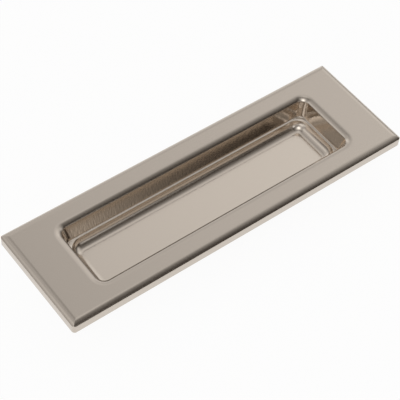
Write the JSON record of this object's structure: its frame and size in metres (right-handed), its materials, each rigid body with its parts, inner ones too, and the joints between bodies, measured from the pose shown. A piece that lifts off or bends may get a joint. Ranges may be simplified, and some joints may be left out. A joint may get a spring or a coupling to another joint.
{
  "type": "recessed door pull",
  "caption": "Rectangular recessed pull with a rolled flange and a stepped finger recess, set flush into a sliding or pocket door and held by screws from behind.",
  "frame": {"origin": "centre of the plane where the underside of the flange's rim seats on the door's face", "axes": "+X along the length of the flange, +Y across its width, +Z out of the door's face towards the hand"},
  "size_m": [0.118, 0.0364, 0.0104],
  "materials": {
    "satin_nickel": "satin nickel plate over a zinc die casting"
  },
  "bodies": {
    "root": {"pull_body": "satin_nickel"}
  },
  "joints": []
}
